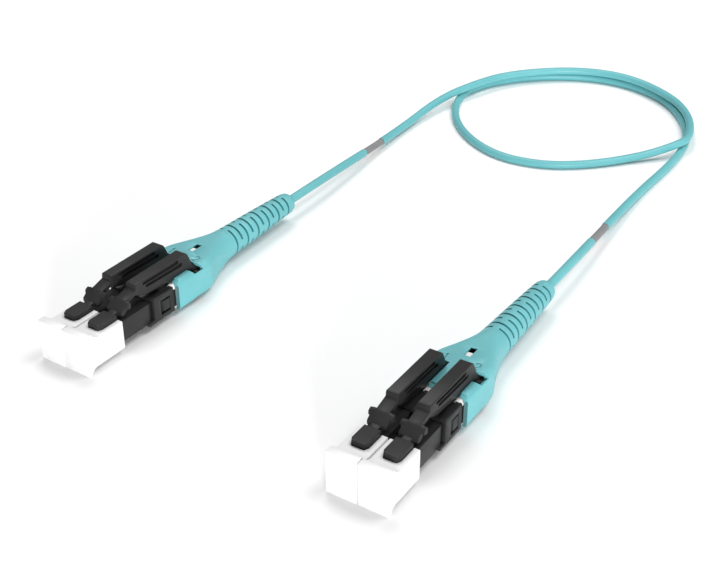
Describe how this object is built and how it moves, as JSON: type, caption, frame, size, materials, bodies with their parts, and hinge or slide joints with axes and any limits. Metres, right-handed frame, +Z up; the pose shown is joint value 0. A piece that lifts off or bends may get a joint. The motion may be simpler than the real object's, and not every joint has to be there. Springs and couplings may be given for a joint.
{
  "type": "duplex lc uniboot fibre patch cord",
  "caption": "Thin round fibre patch cord in a loose loop, with a duplex push-pull plug at each end: slim latched plugs, sliding tapered boot and white dust caps.",
  "frame": {"origin": "on the surface that the cord lies on, under the middle of the box round the two connectors", "axes": "+Z up from the surface; -Y out of the near connector's plugs, along its ferrules; +X across both connectors, from the far one to the near one"},
  "size_m": [0.0805, 0.1922, 0.0116],
  "materials": {
    "cap": "smooth translucent-white polymer",
    "black_plastic": "fine satin moulding",
    "aqua_boot": "satin flexible elastomer",
    "aqua_jacket": "satin extruded jacket",
    "white_plastic": "satin moulding",
    "zirconia": "polished",
    "steel": "drawn",
    "fibre": "thin buffer",
    "band": "matt sleeve"
  },
  "bodies": {
    "cord": {"near_plug_body_a": "black_plastic", "near_rear_body_a": "black_plastic", "near_buffered_fibre_a": "fibre", "near_ferrule_spring_a": "steel", "near_plug_body_b": "black_plastic", "near_rear_body_b": "black_plastic", "near_buffered_fibre_b": "fibre", "near_ferrule_spring_b": "steel", "near_inner_housing_top": "white_plastic", "near_inner_housing_bottom": "white_plastic", "near_crimp_tube": "steel", "near_marker_band": "band", "far_plug_body_a": "black_plastic", "far_rear_body_a": "black_plastic", "far_buffered_fibre_a": "fibre", "far_ferrule_spring_a": "steel", "far_plug_body_b": "black_plastic", "far_rear_body_b": "black_plastic", "far_buffered_fibre_b": "fibre", "far_ferrule_spring_b": "steel", "far_inner_housing_top": "white_plastic", "far_inner_housing_bottom": "white_plastic", "far_crimp_tube": "steel", "far_marker_band": "band", "cable_jacket": "aqua_jacket"},
    "near_cap_a": {"near_dust_cap_a": "cap"},
    "near_latch_arm_a": {"near_latch_a": "black_plastic"},
    "near_ferrule_train_a": {"near_ferrule_a": "zirconia", "near_ferrule_flange_a": "steel"},
    "near_cap_b": {"near_dust_cap_b": "cap"},
    "near_latch_arm_b": {"near_latch_b": "black_plastic"},
    "near_ferrule_train_b": {"near_ferrule_b": "zirconia", "near_ferrule_flange_b": "steel"},
    "near_boot_shell": {"near_boot": "aqua_boot"},
    "far_cap_a": {"far_dust_cap_a": "cap"},
    "far_latch_arm_a": {"far_latch_a": "black_plastic"},
    "far_ferrule_train_a": {"far_ferrule_a": "zirconia", "far_ferrule_flange_a": "steel"},
    "far_cap_b": {"far_dust_cap_b": "cap"},
    "far_latch_arm_b": {"far_latch_b": "black_plastic"},
    "far_ferrule_train_b": {"far_ferrule_b": "zirconia", "far_ferrule_flange_b": "steel"},
    "far_boot_shell": {"far_boot": "aqua_boot"}
  },
  "joints": [
    {"name": "near_boot_slide", "type": "slide", "parent": "cord", "child": "near_boot_shell", "axis": [0, 1, 0], "range_m": [0, 0.002], "stiffness_N_per_m": 400},
    {"name": "near_latch_swing_a", "type": "hinge", "parent": "cord", "child": "near_latch_arm_a", "pos_m": [0.03072, -0.02823, 0.00762], "axis": [1, 0, 0], "range_deg": [-2.5, 0]},
    {"name": "near_cap_slide_a", "type": "slide", "parent": "cord", "child": "near_cap_a", "axis": [0, -1, 0], "range_m": [0, 0.012]},
    {"name": "near_ferrule_push_a", "type": "slide", "parent": "cord", "child": "near_ferrule_train_a", "axis": [0, 1, 0], "range_m": [0, 0.0008], "stiffness_N_per_m": 1500, "springref_m": -0.003, "deforming": ["near_ferrule_spring_a"]},
    {"name": "near_latch_swing_b", "type": "hinge", "parent": "cord", "child": "near_latch_arm_b", "pos_m": [0.03698, -0.02823, 0.00762], "axis": [1, 0, 0], "range_deg": [-2.5, 0]},
    {"name": "near_cap_slide_b", "type": "slide", "parent": "cord", "child": "near_cap_b", "axis": [0, -1, 0], "range_m": [0, 0.012]},
    {"name": "near_ferrule_push_b", "type": "slide", "parent": "cord", "child": "near_ferrule_train_b", "axis": [0, 1, 0], "range_m": [0, 0.0008], "stiffness_N_per_m": 1500, "springref_m": -0.003, "deforming": ["near_ferrule_spring_b"]},
    {"name": "far_boot_slide", "type": "slide", "parent": "cord", "child": "far_boot_shell", "axis": [0.0177, 0.9998, 0], "range_m": [0, 0.002], "stiffness_N_per_m": 400},
    {"name": "far_latch_swing_a", "type": "hinge", "parent": "cord", "child": "far_latch_arm_a", "pos_m": [-0.03709, -0.02498, 0.00762], "axis": [0.9998, -0.0177, 0], "range_deg": [-2.5, 0]},
    {"name": "far_cap_slide_a", "type": "slide", "parent": "cord", "child": "far_cap_a", "axis": [-0.0177, -0.9998, 0], "range_m": [0, 0.012]},
    {"name": "far_ferrule_push_a", "type": "slide", "parent": "cord", "child": "far_ferrule_train_a", "axis": [0.0177, 0.9998, 0], "range_m": [0, 0.0008], "stiffness_N_per_m": 1500, "springref_m": -0.003, "deforming": ["far_ferrule_spring_a"]},
    {"name": "far_latch_swing_b", "type": "hinge", "parent": "cord", "child": "far_latch_arm_b", "pos_m": [-0.03084, -0.02509, 0.00762], "axis": [0.9998, -0.0177, 0], "range_deg": [-2.5, 0]},
    {"name": "far_cap_slide_b", "type": "slide", "parent": "cord", "child": "far_cap_b", "axis": [-0.0177, -0.9998, 0], "range_m": [0, 0.012]},
    {"name": "far_ferrule_push_b", "type": "slide", "parent": "cord", "child": "far_ferrule_train_b", "axis": [0.0177, 0.9998, 0], "range_m": [0, 0.0008], "stiffness_N_per_m": 1500, "springref_m": -0.003, "deforming": ["far_ferrule_spring_b"]}
  ],
  "couplings": [
    {"joint": "near_latch_swing_a", "follows": "near_boot_slide", "rad_per_m": -21.8},
    {"joint": "near_latch_swing_b", "follows": "near_boot_slide", "rad_per_m": -21.8},
    {"joint": "far_latch_swing_a", "follows": "far_boot_slide", "rad_per_m": -21.8},
    {"joint": "far_latch_swing_b", "follows": "far_boot_slide", "rad_per_m": -21.8}
  ]
}
